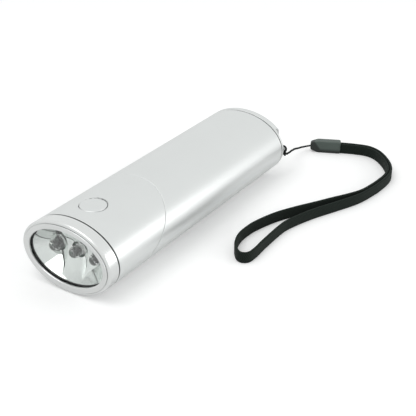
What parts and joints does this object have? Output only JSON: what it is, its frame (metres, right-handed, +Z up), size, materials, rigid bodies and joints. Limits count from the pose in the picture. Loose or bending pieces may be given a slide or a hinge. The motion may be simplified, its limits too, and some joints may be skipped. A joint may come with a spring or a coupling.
{
  "type": "hand crank flashlight",
  "caption": "Oval pocket torch whose lamp head twists on a slanted joint to drive a generator, with a push button and a wrist strap.",
  "frame": {"origin": "centre of the body's footprint on the surface it lies on, measured without the strap", "axes": "+Y along the body from lens to end cap, +X across its width towards the strap's side, +Z up out of the push button"},
  "size_m": [0.0967, 0.197, 0.0335],
  "materials": {
    "satin_silver": "satin silver paint over moulded plastic",
    "bright_silver": "smooth silver plating",
    "reflector_chrome": "vacuum plated plastic",
    "clear_window": "clear, polished",
    "lamp_epoxy": "water clear epoxy",
    "black_rubber": "matt",
    "white_plastic": "moulded",
    "dark_plastic": "moulded",
    "steel": "bright",
    "brass": "bright",
    "circuit_board": "solder resist",
    "cell_jacket": "printed jacket left bare",
    "black_cord": "fine braid",
    "black_band": "woven band",
    "black_sleeve": "moulded, satin"
  },
  "bodies": {
    "handle": {"rear_casing": "satin_silver", "end_cap": "satin_silver", "strap_eyelet": "bright_silver", "joint_seal": "black_rubber", "gearbox_front_plate": "white_plastic", "gearbox_back_plate": "white_plastic", "battery_cradle": "dark_plastic", "storage_capacitor": "dark_plastic", "gear_pin_1": "steel", "gear_pin_2": "steel", "gearbox_pillar_1": "steel", "gearbox_pillar_2": "steel", "gearbox_pillar_3": "steel", "generator_case": "steel", "end_cap_screw_1": "steel", "end_cap_screw_2": "steel", "contact_brush_inner": "brass", "contact_brush_outer": "brass", "pivot_bush": "brass", "stator_coil": "brass", "battery_contact_front": "brass", "battery_contact_rear": "brass", "charge_board": "circuit_board", "battery_cell_1": "cell_jacket", "battery_cell_2": "cell_jacket", "battery_cell_3": "cell_jacket", "strap_hitch": "black_cord", "strap_cord": "black_cord", "wrist_band": "black_band", "strap_sleeve": "black_sleeve"},
    "head": {"head_casing": "satin_silver", "bezel_ring": "bright_silver", "lens": "clear_window", "lens_gasket": "black_rubber", "reflector": "reflector_chrome", "led_left": "lamp_epoxy", "led_centre": "lamp_epoxy", "led_right": "lamp_epoxy", "led_board": "circuit_board", "head_frame": "white_plastic", "switch_board": "circuit_board", "tact_switch": "dark_plastic", "pivot_tube": "steel", "pivot_clip": "steel", "drive_gear": "white_plastic", "slip_ring_board": "circuit_board", "slip_ring_inner": "brass", "slip_ring_outer": "brass"},
    "button": {"push_button": "satin_silver", "switch_plunger": "dark_plastic"},
    "compound_gear_1": {"compound_gear_1": "white_plastic"},
    "compound_gear_2": {"compound_gear_2": "white_plastic"},
    "rotor": {"rotor_shaft": "steel", "rotor_magnet": "dark_plastic"}
  },
  "joints": [
    {"name": "head_twist", "type": "hinge", "parent": "handle", "child": "head", "pos_m": [0, -0.03831, 0.01675], "axis": [0, 0.6979, -0.7162], "continuous": true},
    {"name": "button_press", "type": "slide", "parent": "head", "child": "button", "axis": [0, 0, -1], "range_m": [0, 0.0008], "stiffness_N_per_m": 1500},
    {"name": "compound_gear_1_spin", "type": "hinge", "parent": "handle", "child": "compound_gear_1", "pos_m": [-0.01044, -0.03163, 0.02326], "axis": [0, 0.6979, -0.7162], "continuous": true},
    {"name": "compound_gear_2_spin", "type": "hinge", "parent": "handle", "child": "compound_gear_2", "pos_m": [0.00217, -0.0286, 0.02621], "axis": [0, 0.6979, -0.7162], "continuous": true},
    {"name": "rotor_spin", "type": "hinge", "parent": "handle", "child": "rotor", "pos_m": [-0.0079, -0.02405, 0.03064], "axis": [0, 0.6979, -0.7162], "continuous": true}
  ],
  "couplings": [
    {"joint": "compound_gear_1_spin", "follows": "head_twist", "ratio": -3},
    {"joint": "compound_gear_2_spin", "follows": "head_twist", "ratio": 8.4},
    {"joint": "rotor_spin", "follows": "head_twist", "ratio": -20.16}
  ]
}
